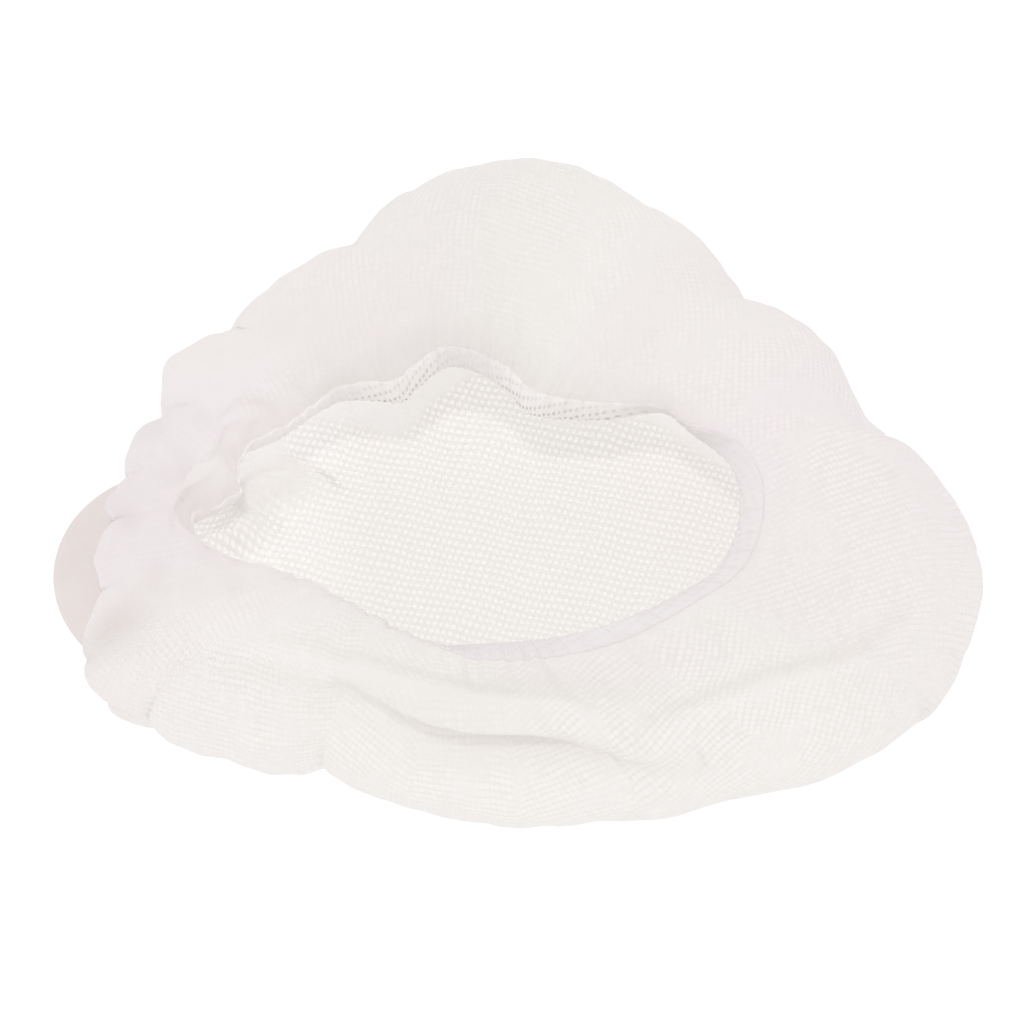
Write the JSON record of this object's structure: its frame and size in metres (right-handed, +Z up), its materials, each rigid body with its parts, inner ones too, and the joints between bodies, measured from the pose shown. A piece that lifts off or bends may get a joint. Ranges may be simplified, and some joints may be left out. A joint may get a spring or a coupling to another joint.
{
  "type": "mesh top chef cap",
  "caption": "Soft mesh-topped kitchen cap with a full gathered crown, an elastic band and a small rounded peak, laid on its crown with the opening upwards.",
  "frame": {"origin": "middle of the footprint of the cap as it lies on its crown, on the surface under it", "axes": "+Z up out of the surface, towards the open side; -X towards the peak at the cap's front; +X towards the back of the cap; +Y towards the high side of the pouch"},
  "size_m": [0.2863, 0.22, 0.0702],
  "materials": {
    "mesh_cloth": "soft matt knitted net",
    "elastic_hem": "matt gathered net over elastic",
    "peak_cloth": "smooth matt cloth"
  },
  "bodies": {
    "root": {"crown": "mesh_cloth", "band": "elastic_hem", "peak": "peak_cloth"}
  },
  "joints": []
}
